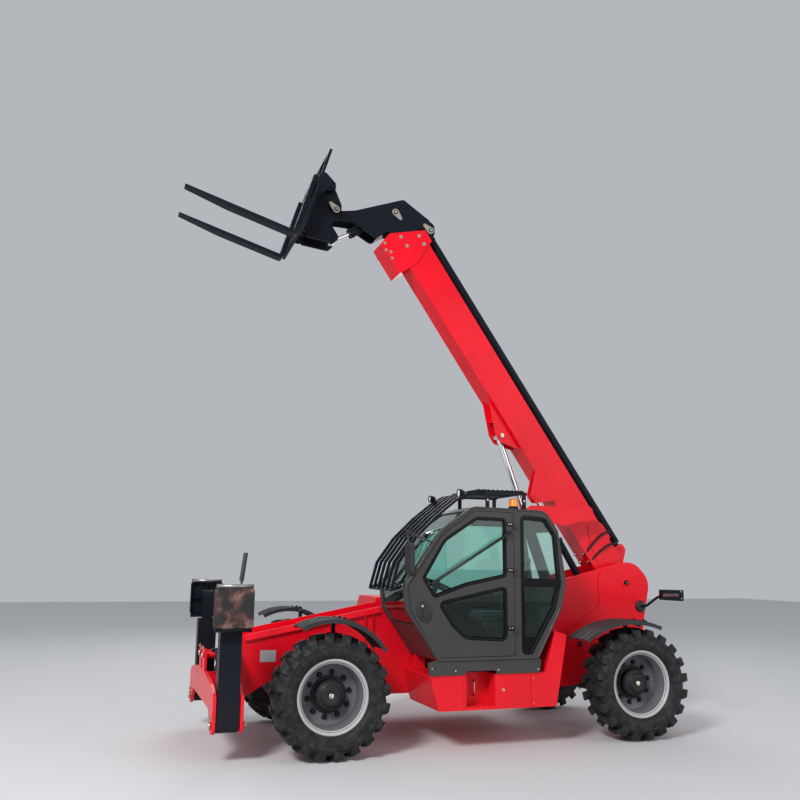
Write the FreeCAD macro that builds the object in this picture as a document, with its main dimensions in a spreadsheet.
import FreeCAD, Part
import math
import os
from types import SimpleNamespace
from FreeCAD import Placement, Rotation, Vector

# Telehandler with a two section boom, pallet forks, front outriggers and a cab on its left.
# +X forward, +Y to the machine's left, +Z up, floor at Z = 0, millimetres.

SIZES = [
    # alias, value, meaning
    ("front_axle_x", 1225, "front axle ahead of the middle of the machine's length"),
    ("wheelbase", 3260, "front axle to rear axle"),
    ("wheel_track", 1970, "middle of the left tyres to middle of the right tyres"),
    ("kingpin_track", 1380, "left kingpin to right kingpin"),
    ("kingpin", 44, "kingpin diameter"),
    ("tyre_diameter", 1110, "over the lugs"),
    ("tyre_width", 360, "over the lugs, across"),
    ("lug_high", 33, "tyre lug above the tread"),
    ("rim_diameter", 672, "over the rim flange"),
    ("rim_width", 270, "between the outer faces of the rim flanges"),
    ("frame_width", 600, "over the two chassis side plates"),
    ("frame_plate", 25, "thickness of a chassis side plate"),
    ("frame_belly", 440, "floor to the bottom edge of the chassis"),
    ("frame_deck", 1040, "floor to the top edge of the chassis at the front"),
    ("frame_nose", 715, "chassis ahead of the front axle"),
    ("deck_rise", 272, "chassis top edge, rise from the nose to its kink"),
    ("tail_back", 220, "chassis tail behind the boom pivot"),
    ("doubler", 12, "doubler plates on the chassis and the plate beside the boom"),
    ("hitch_pin", 32, "tow pin hole"),
    ("hitch_mouth", 70, "gap between the tow hitch's ears"),
    ("boom_pivot_back", 390, "boom pivot behind the rear axle"),
    ("boom_pivot_high", 1555, "boom pivot above the floor"),
    ("boom_angle", 55.8, "boom above the horizontal as stored, degrees"),
    ("boom_width", 270, "outer section, across"),
    ("boom_depth", 365, "outer section, top to bottom"),
    ("boom_wall", 10, "wall of a boom section"),
    ("boom_low", 156, "bottom of the outer section below the pivot line"),
    ("boom_tail", 160, "outer section's closed tail behind the pivot"),
    ("boom_reach", 4700, "pivot to the front edge of the outer section"),
    ("boom_gap", 12, "between the outer and the inner section"),
    ("collar_plate", 12, "doubler plate of the boom's front collar"),
    ("collar_drop", 169, "collar below the bottom of the outer section"),
    ("collar_rise", 45, "collar above the top of the outer section"),
    ("head_plate", 20, "side plate of the boom head"),
    ("carriage_pin_ahead", 656, "carriage pivot ahead of the outer section's front edge"),
    ("carriage_pin_v", -593, "carriage pivot across the boom from its pivot"),
    ("carriage_tilt", 16.6, "forks above the horizontal as stored, degrees"),
    ("pin_diameter", 60, "boom, lift and carriage pins"),
    ("small_pin", 45, "compensation, tilt and outrigger cylinder pins"),
    ("pin_play", 0.6, "bore of an eye over its pin, on the diameter"),
    ("side_play", 6, "between an eye and the lug beside it"),
    ("lift_pin_u", 2180, "lift cylinder's rod pin along the boom"),
    ("lift_pin_v", -265, "lift cylinder's rod pin across the boom"),
    ("lift_base_ahead", 230, "lift cylinder's base pin ahead of the rear axle"),
    ("lift_base_high", 890, "lift cylinder's base pin above the floor"),
    ("lift_bore", 130, "outside of the lift cylinder's barrel"),
    ("lift_rod", 70, "lift cylinder's rod"),
    ("level_pin_u", 1381, "compensation cylinder's rod pin along the boom"),
    ("level_pin_v", -325, "compensation cylinder's rod pin across the boom"),
    ("level_base_back", 140, "compensation cylinder's base pin behind the rear axle"),
    ("level_base_high", 1200, "compensation cylinder's base pin above the floor"),
    ("level_bore", 80, "outside of the compensation cylinder's barrel"),
    ("level_rod", 40, "compensation cylinder's rod"),
    ("level_side", 115, "compensation cylinder to the left of the middle"),
    ("extend_line", 325, "extension cylinder above the boom's pivot line"),
    ("extend_base_u", 257, "extension cylinder's base pin along the boom"),
    ("extend_pin_back", 50, "extension cylinder's rod pin behind the outer section's front edge"),
    ("extend_bore", 100, "outside of the extension cylinder's barrel"),
    ("extend_rod", 50, "extension cylinder's rod"),
    ("tilt_base_ahead", 328, "tilt cylinder's base pin ahead of the outer section's front edge"),
    ("tilt_base_v", 60, "tilt cylinder's base pin across the boom"),
    ("tilt_pin_ahead", 393, "tilt cylinder's rod pin ahead of the outer section's front edge"),
    ("tilt_pin_v", -786, "tilt cylinder's rod pin across the boom"),
    ("tilt_bore", 100, "outside of the tilt cylinder's barrel"),
    ("tilt_rod", 50, "tilt cylinder's rod"),
    ("hose", 22, "hydraulic hose"),
    ("fork_length", 1200, "fork blade from its heel to its tip"),
    ("fork_width", 120, "fork blade across"),
    ("fork_thick", 45, "fork blade and shank thickness"),
    ("fork_spread", 770, "middle to middle of the two forks"),
    ("carriage_width", 1180, "fork carriage across"),
    ("carriage_height", 980, "backrest top above the forks"),
    ("leg_length", 800, "outrigger leg above its hinge"),
    ("leg_size", 195, "outrigger leg along the machine"),
    ("leg_depth", 150, "outrigger leg across"),
    ("leg_ahead", 922, "middle of the outrigger legs ahead of the front axle"),
    ("leg_hinge_out", 930, "outrigger hinge from the middle of the machine"),
    ("leg_hinge_high", 330, "outrigger hinge above the floor"),
    ("outrigger_plate", 30, "cross plate that carries the outriggers"),
    ("outrigger_gap", 10, "between an outrigger leg and a cross plate"),
    ("pad_size", 350, "outrigger foot plate, square"),
    ("pad_depth", 110, "outrigger foot beyond its leg"),
    ("pad_wall", 60, "outrigger foot's rim, deep"),
    ("mirror_height", 240, "front mirror from its stem to its top"),
    ("mirror_width", 150, "front mirror across"),
    ("brace_base_out", 140, "outrigger cylinder's base pin from the middle"),
    ("brace_base_high", 850, "outrigger cylinder's base pin above the floor"),
    ("brace_pin_up", 370, "outrigger cylinder's rod pin along the leg from its hinge"),
    ("brace_pin_in", 50, "outrigger cylinder's rod pin inboard of the hinge"),
    ("brace_bore", 84, "outside of the outrigger cylinder's barrel"),
    ("brace_rod", 40, "outrigger cylinder's rod"),
    ("cab_outer", 1120, "cab's outer side from the middle of the machine"),
    ("cab_inner", 320, "cab's inner side from the middle of the machine"),
    ("cab_wall", 40, "cab wall and door thickness"),
    ("cab_roof", 2310, "floor to the top of the cab roof"),
    ("cab_floor", 838, "floor to the bottom of the door"),
    ("grab_bar_out", 36, "door's grab bar beyond the door"),
    ("guard_bar", 26, "bars of the cab's guard"),
    ("steering_wheel", 370, "steering wheel, middle of its rim"),
    ("door_gap", 6, "gap around the cab door"),
    ("glass_thick", 8, "window glass"),
    ("hood_outer", 1100, "engine bay's outer side from the middle"),
    ("hood_inner", 325, "engine bay's inner side from the middle"),
    ("hood_top", 1380, "floor to the top of the engine hood"),
    ("hood_wall", 15, "engine hood and engine bay wall"),
    ("fender_thick", 8, "fender sheet"),
    ("fender_width", 370, "fender across"),
    ("fender_lip", 30, "fender's edges turned down"),
]

doc = FreeCAD.newDocument("Telehandler")
sheet = doc.addObject("Spreadsheet::Sheet", "Sizes")
for row, (alias, value, meaning) in enumerate(SIZES, start=1):
    sheet.set(f"A{row}", alias)
    sheet.set(f"B{row}", str(value))
    sheet.set(f"C{row}", meaning)
    sheet.setAlias(f"B{row}", alias)
doc.recompute()
mm = SimpleNamespace(**{alias: float(sheet.get(alias)) for alias, _, _ in SIZES})

nodes = []

# Places worked out from the sizes.
front_x = mm.front_axle_x
rear_x = mm.front_axle_x - mm.wheelbase
wheel_high = mm.tyre_diameter / 2
wheel_out = mm.wheel_track / 2
kingpin_out = mm.kingpin_track / 2
pivot_x = rear_x - mm.boom_pivot_back
boom_high = mm.boom_depth - mm.boom_low
frame_side = (mm.frame_width - mm.frame_plate) / 2
carriage_pin_u = mm.boom_reach + mm.carriage_pin_ahead
extend_pin_u = mm.boom_reach - mm.extend_pin_back
tilt_base_u = mm.boom_reach + mm.tilt_base_ahead
tilt_pin_u = mm.boom_reach + mm.tilt_pin_ahead
boom_place = Placement(Vector(pivot_x, 0, mm.boom_pivot_high), Rotation(Vector(0, 1, 0), -mm.boom_angle))


# Drawing helpers.


def plane_of(body, role):
    """Return the origin plane or axis of a body by its role."""
    return [item for item in body.Origin.OriginFeatures if item.Role == role][0]


def draw_outline(sketch, corners):
    """Draw a closed outline. A corner is (x, y) or (x, y, radius of its round)."""
    count = len(corners)
    starts, ends, arcs = [], [], []
    for i, corner in enumerate(corners):
        here = Vector(corner[0], corner[1], 0)
        before = Vector(*corners[i - 1][:2], 0)
        after = Vector(*corners[(i + 1) % count][:2], 0)
        radius = corner[2] if len(corner) > 2 else 0
        if radius == 0:
            starts.append(here)
            ends.append(here)
            arcs.append(None)
            continue
        back = (before - here).normalize()
        ahead = (after - here).normalize()
        half_angle = back.getAngle(ahead) / 2
        reach = radius / math.tan(half_angle)
        middle_line = (back + ahead).normalize()
        middle = here + middle_line * (radius / math.sin(half_angle) - radius)
        starts.append(here + back * reach)
        ends.append(here + ahead * reach)
        arcs.append(Part.Arc(here + back * reach, middle, here + ahead * reach))
    for i in range(count):
        if arcs[i] is not None:
            sketch.addGeometry(arcs[i])
        if ends[i].distanceToPoint(starts[(i + 1) % count]) > 0.001:
            sketch.addGeometry(Part.LineSegment(ends[i], starts[(i + 1) % count]))


def draw_circle(sketch, x, y, radius):
    """Draw a full circle."""
    sketch.addGeometry(Part.Circle(Vector(x, y, 0), Vector(0, 0, 1), radius))


def new_sketch(body, label, role, corners, holes=()):
    """Sketch an outline with round holes (x, y, radius) on a body's origin plane."""
    sketch = body.newObject("Sketcher::SketchObject", label)
    sketch.AttachmentSupport = [(plane_of(body, role), "")]
    sketch.MapMode = "FlatFace"
    if corners:
        draw_outline(sketch, corners)
    for x, y, radius in holes:
        draw_circle(sketch, x, y, radius)
    return sketch


def slab(label, corners, width, middle=0, plane="XZ_Plane", holes=(), place=None, rule=None):
    """Pad an outline by width, half to each side of the plane moved to middle."""
    body = doc.addObject("PartDesign::Body", label)
    sketch = new_sketch(body, label + "_outline", plane, corners, holes)
    pad = body.newObject("PartDesign::Pad", label + "_pad")
    pad.Profile = sketch
    pad.Length = width
    pad.SideType = "Symmetric"
    if rule:
        pad.setExpression("Length", rule)
    shift = {"XZ_Plane": Vector(0, middle, 0), "YZ_Plane": Vector(middle, 0, 0),
             "XY_Plane": Vector(0, 0, middle)}
    body.Placement = (place or Placement()).multiply(Placement(shift[plane], Rotation()))
    return body


def turned(label, corners, place, sweep=360):
    """Turn an outline (distance along the axis, radius) about the Y axis of its place."""
    body = doc.addObject("PartDesign::Body", label)
    sketch = new_sketch(body, label + "_section", "XY_Plane", [(c[1], c[0], *c[2:]) for c in corners])
    turn = body.newObject("PartDesign::Revolution", label + "_turn")
    turn.Profile = sketch
    turn.ReferenceAxis = (plane_of(body, "Y_Axis"), [""])
    turn.Angle = sweep
    body.Placement = place
    return body


def rod_between(label, start, end, radius):
    """A round bar from one point to another."""
    bar = doc.addObject("Part::Cylinder", label)
    bar.Radius = radius
    bar.Height = (end - start).Length
    bar.Placement = Placement(start, Rotation(Vector(0, 0, 1), end - start))
    return bar


def cross_bar(label, x, z, radius, out, place=None, middle=0):
    """A round bar across the machine, out to each side of its middle."""
    base = place or Placement()
    start = base.multVec(Vector(x, middle - out, z))
    end = base.multVec(Vector(x, middle + out, z))
    return rod_between(label, start, end, radius)


def block(label, low, high, place=None):
    """A box between two corners."""
    box = doc.addObject("Part::Box", label)
    box.Length = high[0] - low[0]
    box.Width = high[1] - low[1]
    box.Height = high[2] - low[2]
    box.Placement = (place or Placement()).multiply(Placement(Vector(*low), Rotation()))
    return box


def pipe(label, points, radius, place=None):
    """A bent round pipe along straight runs joined by tangent arcs, as wide as the runs allow."""
    middle = [Vector(*point) for point in points]
    edges = []
    start = middle[0]
    for before, here, after in zip(middle, middle[1:], middle[2:]):
        back = before - here
        ahead = after - here
        reach = 0.45 * min(back.Length, ahead.Length)
        back.normalize()
        ahead.normalize()
        half_angle = back.getAngle(ahead) / 2
        bend = reach * math.tan(half_angle)
        inward = (back + ahead).normalize()
        knee = here + inward * (bend / math.sin(half_angle) - bend)
        edges.append(Part.LineSegment(start, here + back * reach).toShape())
        edges.append(Part.Arc(here + back * reach, knee, here + ahead * reach).toShape())
        start = here + ahead * reach
    edges.append(Part.LineSegment(start, middle[-1]).toShape())
    ring = Part.Wire(Part.makeCircle(radius, middle[0], middle[1] - middle[0]))
    # No primitive follows a path in space, so the pipe is a plain shape.
    feature = doc.addObject("Part::Feature", label)
    feature.Shape = Part.Wire(edges).makePipeShell([ring], True, False)
    feature.Placement = place or Placement()
    return feature


def side_block(label, side, low, high):
    """A box drawn between two corners on the left (side 1), or its mirror image on the right (side -1)."""
    near, far = sorted((side * low[1], side * high[1]))
    return block(label, (low[0], near, low[2]), (high[0], far, high[2]))


def fused(label, parts):
    """Weld several pieces into one."""
    weld = doc.addObject("Part::MultiFuse", label)
    weld.Shapes = parts
    return weld


def cut(label, base, tools):
    """Take the tools away from the base."""
    tool = tools[0] if len(tools) == 1 else fused(label + "_tools", tools)
    result = doc.addObject("Part::Cut", label)
    result.Base = base
    result.Tool = tool
    return result


def together(label, parts):
    """Keep several loose pieces under one name."""
    group = doc.addObject("Part::Compound", label)
    group.Links = parts
    return group


def node(name, thing):
    """Name a finished piece and put it on the list of pieces to write."""
    thing.Label = name
    nodes.append(thing)
    return thing


def hydraulic(name, base, tip, shortest, sizes, place=None, drilled=False):
    """Barrel and rod of a cylinder between its base pin and its rod pin.

    base and tip are (x, z) in the plane of place, shortest is the closed length between
    the pins, and sizes holds bore, rod, eye, eye_width, pin, side and show, the length of
    rod that still shows when closed. The rod's eye holds its own pin unless it is drilled.
    """
    run = Vector(tip[0] - base[0], 0, tip[1] - base[1])
    slope = math.degrees(math.atan2(run.z, run.x))
    start = Placement(Vector(base[0], sizes.side, base[1]), Rotation(Vector(0, 1, 0), -slope))
    own = (place or Placement()).multiply(start)
    hole = (sizes.pin + mm.pin_play) / 2
    mouth = shortest - sizes.show
    rod_start = shortest * 0.14

    def along(label, begin, end, radius):
        return rod_between(label, own.multVec(Vector(begin, 0, 0)), own.multVec(Vector(end, 0, 0)), radius)

    tube_start = sizes.eye / 2 + 35
    barrel = fused(name + "_barrel_blank", [
        along(name + "_neck", sizes.eye * 0.3, tube_start, sizes.eye_width * 0.45),
        along(name + "_tube", tube_start, mouth, sizes.bore / 2),
        along(name + "_gland", mouth - sizes.bore * 0.5, mouth, sizes.bore / 2 + 6),
        cross_bar(name + "_base_eye", 0, 0, sizes.eye / 2, sizes.eye_width / 2, own),
    ])
    barrel = cut(name + "_barrel_solid", barrel, [
        along(name + "_rod_way", rod_start - 20, mouth + 1, sizes.rod / 2 + 0.4),
        cross_bar(name + "_base_hole", 0, 0, hole, sizes.eye_width, own),
    ])
    rod = fused(name + "_rod_blank", [
        along(name + "_bar", rod_start + run.Length - shortest, run.Length - sizes.eye * 0.4, sizes.rod / 2),
        cross_bar(name + "_rod_eye", run.Length, 0, sizes.eye / 2, sizes.eye_width / 2, own),
    ])
    if drilled:
        rod = cut(name + "_rod_solid", rod,
                  [cross_bar(name + "_rod_hole", run.Length, 0, hole, sizes.eye_width, own)])
    return node(name + "_barrel", barrel), node(name + "_rod", rod)


def swung(point, centre, degrees):
    """Turn a point (x, z) about a centre, positive from +X towards +Z."""
    turn = math.radians(degrees)
    x = point[0] - centre[0]
    z = point[1] - centre[1]
    return (centre[0] + x * math.cos(turn) - z * math.sin(turn),
            centre[1] + x * math.sin(turn) + z * math.cos(turn))


def gap_between(first, second):
    """Distance between two points (x, z)."""
    return math.dist(first, second)


# Chassis: two side plates with a tower for the boom pivot, joined by cross pieces.
pivot = (pivot_x, mm.boom_pivot_high)
lift_base = (rear_x + mm.lift_base_ahead, mm.lift_base_high)
level_base = (rear_x - mm.level_base_back, mm.level_base_high)
nose_x = front_x + mm.frame_nose
tail_x = pivot_x - mm.tail_back
deck_top = mm.frame_deck + mm.deck_rise
deck_end = front_x - 720
axle_arch = wheel_high + 110
side_outline = [
    (nose_x, mm.frame_belly, 20),
    (nose_x, mm.frame_deck, 30),
    (deck_end, deck_top, 150),
    (rear_x + 960, deck_top + 150, 300),
    (pivot_x + 774, mm.boom_pivot_high + 40, 80),
    (pivot_x + 300, mm.boom_pivot_high + 165, 100),
    (pivot_x - 120, mm.boom_pivot_high + 250, 240),
    (pivot_x - 330, mm.boom_pivot_high + 20, 220),
    (tail_x, mm.boom_pivot_high - 460, 60),
    (tail_x, mm.frame_belly + 150, 60),
    (rear_x + 420, mm.frame_belly, 80),
    (front_x - 500, mm.frame_belly, 80),
    (front_x - 280, mm.frame_belly + 170, 60),
    (front_x + 430, mm.frame_belly + 170, 60),
]
tower_doubler = [
    (pivot_x + 306, mm.boom_pivot_high + 145, 30),
    (pivot_x + 362, mm.boom_pivot_high + 54, 20),
    (pivot_x + 357, mm.boom_pivot_high - 247, 60),
    (pivot_x + 466, mm.boom_pivot_high - 323, 40),
    (pivot_x + 777, mm.boom_pivot_high - 525, 20),
    (pivot_x + 777, mm.frame_belly + 60, 60),
    (tail_x + 25, mm.frame_belly + 175, 40),
    (tail_x + 22, mm.boom_pivot_high - 460, 50),
    (pivot_x - 300, mm.boom_pivot_high + 20, 200),
    (pivot_x - 110, mm.boom_pivot_high + 222, 220),
]
inner_half = mm.frame_width / 2 - mm.frame_plate
notches = [slab(f"axle_notch_{i}", [
    (x - 130, 0), (x - 130, axle_arch, 60), (x + 130, axle_arch, 60), (x + 130, 0),
], mm.frame_width + 80) for i, x in enumerate((front_x, rear_x))]
pin_hole = (mm.pin_diameter + mm.pin_play) / 2
boss_half = mm.frame_plate / 2 + 12
deck_slope = math.degrees(math.atan2(mm.deck_rise, nose_x - deck_end))
deck_length = math.hypot(mm.deck_rise, nose_x - deck_end) - 60
for side, tag in ((1, "left"), (-1, "right")):
    plate = slab(f"side_plate_{tag}", side_outline, mm.frame_plate, side * frame_side,
                 rule="Sizes.frame_plate")
    welded = [plate]
    welded.append(slab(f"tower_doubler_{tag}", tower_doubler, mm.doubler,
                       side * (mm.frame_width / 2 + mm.doubler / 2)))
    for name, place, extra in (("pivot", pivot, 25), ("lift", lift_base, 20)):
        welded.append(cross_bar(f"{name}_boss_{tag}", *place, mm.pin_diameter / 2 + extra, boss_half,
                                middle=side * frame_side))
    fold_start = Vector(nose_x - 20, side * mm.frame_width / 2, mm.frame_deck)
    fold_place = Placement(fold_start, Rotation(Vector(0, 1, 0), deck_slope))
    welded.append(slab(f"deck_fold_{tag}", [
        (-side * 2, 2), (side * 4, 0), (side * 32, -44), (side * 32, -52), (-side * 2, -52),
    ], deck_length, -deck_length / 2, "YZ_Plane", place=fold_place))
    for i, back in enumerate((520, 600)):
        rib_top = mm.frame_deck + mm.deck_rise * (mm.frame_nose + back) / (nose_x - deck_end) - 40
        welded.append(side_block(f"deck_rib_{tag}_{i}", side,
                                 (front_x - back - 12, mm.frame_width / 2 - 1, axle_arch + 120),
                                 (front_x - back, mm.frame_width / 2 + 30, rib_top)))
    holes = [
        cross_bar(f"{name}_hole_{tag}", *place, pin_hole, boss_half * 3, middle=side * frame_side)
        for name, place in (("pivot", pivot), ("lift", lift_base))
    ]
    node(f"chassis_side_{tag}", cut(f"side_solid_{tag}", fused(f"side_weld_{tag}", welded), notches + holes))

# Cross pieces between the side plates, with the boom pin, the cylinder pins and the tow hitch.
frame_parts = []
cross_plates = [
    # name, from x, to x, bottom, top
    ("belly_front", front_x + 445, nose_x - 15, mm.frame_belly + 185, mm.frame_belly + 200),
    ("belly_middle", rear_x + 700, front_x - 500, mm.frame_belly + 5, mm.frame_belly + 20),
    ("nose_plate", nose_x - 30, nose_x - 10, mm.frame_belly + 30, mm.frame_deck - 30),
    ("nose_top", front_x - 500, nose_x - 40, mm.frame_deck - 90, mm.frame_deck - 78),
    ("tail_plate", tail_x + 10, tail_x + 30, mm.frame_belly + 200, mm.boom_pivot_high - 560),
    ("rear_floor", tail_x + 10, rear_x - 230, mm.frame_belly + 170, mm.frame_belly + 200),
    ("front_wall", front_x - 580, front_x - 560, mm.frame_belly + 20, mm.frame_deck + 40),
]
for name, x0, x1, z0, z1 in cross_plates:
    frame_parts.append(block(name, (x0, -inner_half, z0), (x1, inner_half, z1)))
frame_parts.append(cross_bar("pivot_pin", *pivot, mm.pin_diameter / 2, frame_side + 20))
frame_parts.append(cross_bar("lift_base_pin", *lift_base, mm.pin_diameter / 2, frame_side + 20))
eye_half = mm.small_pin * 0.65
for step in (-1, 1):
    lug_middle = mm.level_side + step * (eye_half + mm.side_play + 10)
    frame_parts.append(slab(f"level_lug_{step}", [
        (level_base[0] - 60, level_base[1] + 60, 50), (level_base[0] + 60, level_base[1] + 60, 50),
        (level_base[0] + 90, level_base[1] - 150), (level_base[0] - 120, level_base[1] - 150),
    ], 20, lug_middle))
frame_parts.append(block("level_shelf", (level_base[0] - 120, -inner_half, level_base[1] - 165),
                         (level_base[0] + 90, inner_half, level_base[1] - 145)))
frame_parts.append(cross_bar("level_base_pin", *level_base, mm.small_pin / 2, eye_half + mm.side_play + 20,
                             middle=mm.level_side))
hitch_x = tail_x - 50
hitch_low = mm.frame_belly + 250
for i, z in enumerate((hitch_low, hitch_low + mm.hitch_mouth + 20)):
    frame_parts.append(slab(f"hitch_ear_{i}", [
        (tail_x + 20, -70), (tail_x + 20, 70), (hitch_x - 50, 45, 40), (hitch_x - 50, -45, 40),
    ], 20, z + 10, "XY_Plane"))
hitch_hole = rod_between("hitch_hole", Vector(hitch_x, 0, hitch_low - 20),
                         Vector(hitch_x, 0, hitch_low + mm.hitch_mouth + 60), mm.hitch_pin / 2)
node("chassis_frame", cut("frame_solid", fused("frame_weld", frame_parts), [hitch_hole]))

# Front cross frame that carries the outriggers: a tall rear plate, a low front plate and webs between.
plate_gap = mm.leg_size / 2 + mm.outrigger_gap
leg_x = front_x + mm.leg_ahead
hinge = (mm.leg_hinge_out, mm.leg_hinge_high)
brace_base = (mm.brace_base_out, mm.brace_base_high)
ear_out = mm.leg_hinge_out + 85
ear_low = mm.leg_hinge_high - 70


def cross_plate(ear_top, wing_top, middle_out, middle_top, middle_low):
    """Outline (y, z) of a plate across the machine with an ear at each end for a leg's hinge."""
    left = [
        (middle_out, middle_top, 50), (ear_out - 250, wing_top, 60), (ear_out, ear_top, 60),
        (ear_out, ear_low, 60),
        (ear_out - 150, ear_low, 60), (ear_out - 330, middle_low, 80),
    ]
    right = [(-y, z, radius) for y, z, radius in left[::-1]]
    return left + right


rear_cross = leg_x - plate_gap - mm.outrigger_plate / 2
front_cross = leg_x + plate_gap + mm.outrigger_plate / 2
rear_plate = cross_plate(mm.leg_hinge_high + 230, mm.leg_hinge_high + 360, frame_side + 60,
                         mm.frame_deck - 40,
                         mm.frame_belly)
front_plate = cross_plate(mm.leg_hinge_high + 270, mm.leg_hinge_high + 330, frame_side,
                          mm.leg_hinge_high + 380,
                          mm.frame_belly)
front_parts = [
    slab("rear_cross_plate", rear_plate, mm.outrigger_plate, rear_cross, "YZ_Plane",
         rule="Sizes.outrigger_plate"),
    slab("front_cross_plate", front_plate, mm.outrigger_plate, front_cross, "YZ_Plane",
         rule="Sizes.outrigger_plate"),
]
for side, tag in ((1, "left"), (-1, "right")):
    front_parts.append(side_block(f"nose_web_{tag}", side, (nose_x, frame_side - 12, mm.frame_belly + 40),
                                  (rear_cross, frame_side + 12, mm.frame_deck - 60)))
    front_parts.append(side_block(f"brace_cheek_{tag}", side,
                                  (front_cross - 10, mm.brace_base_out - 70, mm.leg_hinge_high + 340),
                                  (front_cross + 15, mm.brace_base_out + 70, mm.brace_base_high + 60)))
    for pin, place_yz, radius in (("hinge", hinge, mm.pin_diameter / 2),
                                  ("brace", brace_base, mm.small_pin / 2)):
        centre = Vector(rear_cross - 35, side * place_yz[0], place_yz[1])
        front_parts.append(rod_between(f"{pin}_pin_{tag}", centre,
                                       Vector(front_cross + 28, centre.y, centre.z), radius))
mirror_base = Vector(rear_cross + 5, ear_out - 295, mm.leg_hinge_high + 320)
mirror_foot = Vector(rear_cross + 10, mirror_base.y, mm.leg_hinge_high + 1262)
front_parts.append(rod_between("front_mirror_stem", mirror_base, mirror_foot, 9))
front_parts.append(slab("front_mirror", [
    (-8, -15, 5), (8, -15, 5), (8, mm.mirror_height, 5), (-8, mm.mirror_height, 5),
], mm.mirror_width, place=Placement(mirror_foot, Rotation(Vector(0, 1, 0), -6.7))))
box_half = ear_out - 330
front_parts.append(block("front_floor", (rear_cross, -box_half, mm.frame_belly + 10),
                         (front_cross, box_half, mm.frame_belly + 30)))
for side, tag in ((1, "left"), (-1, "right")):
    front_parts.append(side_block(f"front_web_{tag}", side, (rear_cross, 140, mm.frame_belly + 25),
                                  (front_cross, 155, mm.leg_hinge_high + 330)))
node("front_frame", fused("front_frame_weld", front_parts))

# Outriggers: legs folded up, each with a hollow foot whose ground plate faces outward.
leg_top = mm.leg_hinge_high + mm.leg_length
foot_mid = leg_top + mm.pad_size / 2 + 40
leg_out = mm.leg_hinge_out
half_leg = mm.leg_depth / 2
half_pad = mm.pad_size / 2
foot_out = leg_out + half_leg + mm.pad_depth
foot_in = foot_out - mm.pad_wall
ear_half = mm.small_pin * 0.65 + mm.side_play
for side, tag in ((1, "left"), (-1, "right")):
    leg = slab(f"leg_box_{tag}", [
        (side * (leg_out - half_leg), mm.leg_hinge_high - 60, 55),
        (side * (leg_out + half_leg), mm.leg_hinge_high - 60, 55),
        (side * (leg_out + half_leg), leg_top), (side * (leg_out - half_leg), leg_top),
    ], mm.leg_size, leg_x, "YZ_Plane", rule="Sizes.leg_size")
    neck = slab(f"foot_neck_{tag}", [
        (side * (leg_out - 55), leg_top - 1), (side * (leg_out - 55), foot_mid + 90, 60),
        (side * (leg_out + 50), foot_mid + 90, 20),
        (side * (leg_out + half_leg), leg_top - 1),
    ], 110, leg_x, "YZ_Plane")
    post = rod_between(f"foot_post_{tag}", Vector(leg_x, side * leg_out, foot_mid),
                       Vector(leg_x, side * (foot_out - 5), foot_mid), 40)
    tray = cut(f"foot_tray_{tag}", slab(f"foot_pan_{tag}", [
        (-half_pad, -half_pad, 30), (half_pad, -half_pad, 30), (half_pad, half_pad, 30),
        (-half_pad, half_pad, 30),
    ], mm.pad_wall, side * (foot_out - mm.pad_wall / 2),
    place=Placement(Vector(leg_x, 0, foot_mid), Rotation())), [
        slab(f"foot_hollow_{tag}", [
            (-half_pad + 12, -half_pad + 12, 20), (half_pad - 12, -half_pad + 12, 20),
            (half_pad - 12, half_pad - 12, 20), (-half_pad + 12, half_pad - 12, 20),
        ], mm.pad_wall, side * (foot_out - mm.pad_wall / 2 - 12),
        place=Placement(Vector(leg_x, 0, foot_mid), Rotation())),
    ])
    foot = [leg, neck, post, tray]
    for i, (reach_x, reach_z) in enumerate(((half_pad - 6, 5), (5, half_pad - 6))):
        foot.append(side_block(f"foot_rib_{tag}_{i}", side, (leg_x - reach_x, foot_in, foot_mid - reach_z),
                               (leg_x + reach_x, foot_out - 8, foot_mid + reach_z)))
    for up in (-1, 1):
        bar_y = side * (foot_out - 24)
        bar_z = foot_mid + up * (half_pad + 14)
        foot.append(rod_between(f"foot_bar_{tag}_{up}", Vector(leg_x - half_pad + 10, bar_y, bar_z),
                                Vector(leg_x + half_pad - 10, bar_y, bar_z), 19))
    brace_tip = (side * (leg_out - mm.brace_pin_in), mm.leg_hinge_high + mm.brace_pin_up)
    slot = side_block(f"brace_slot_{tag}", side,
                      (leg_x - ear_half, leg_out - half_leg - 1, brace_tip[1] - 200),
                      (leg_x + ear_half, leg_out + half_leg - 15, brace_tip[1] + 110))
    leg_hole = rod_between(f"leg_hole_{tag}", Vector(leg_x - mm.leg_size, side * leg_out, mm.leg_hinge_high),
                           Vector(leg_x + mm.leg_size, side * leg_out, mm.leg_hinge_high), pin_hole)
    node(f"outrigger_leg_{tag}", cut(f"leg_solid_{tag}", fused(f"leg_weld_{tag}", foot), [slot, leg_hole]))
    # The cylinder lies across the machine, so it is laid out in the plane that faces forward.
    across = Placement(Vector(leg_x, 0, 0), Rotation(Vector(0, 0, 1), 90 * side))
    brace_sizes = SimpleNamespace(bore=mm.brace_bore, rod=mm.brace_rod, eye=mm.small_pin * 1.7,
                                  eye_width=mm.small_pin * 1.3, pin=mm.small_pin, side=0, show=57)
    flat_tip = (mm.leg_hinge_out - mm.brace_pin_in, mm.leg_hinge_high + mm.brace_pin_up)
    hydraulic(f"brace_{tag}", brace_base, flat_tip, gap_between(brace_base, flat_tip), brace_sizes, across)

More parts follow.
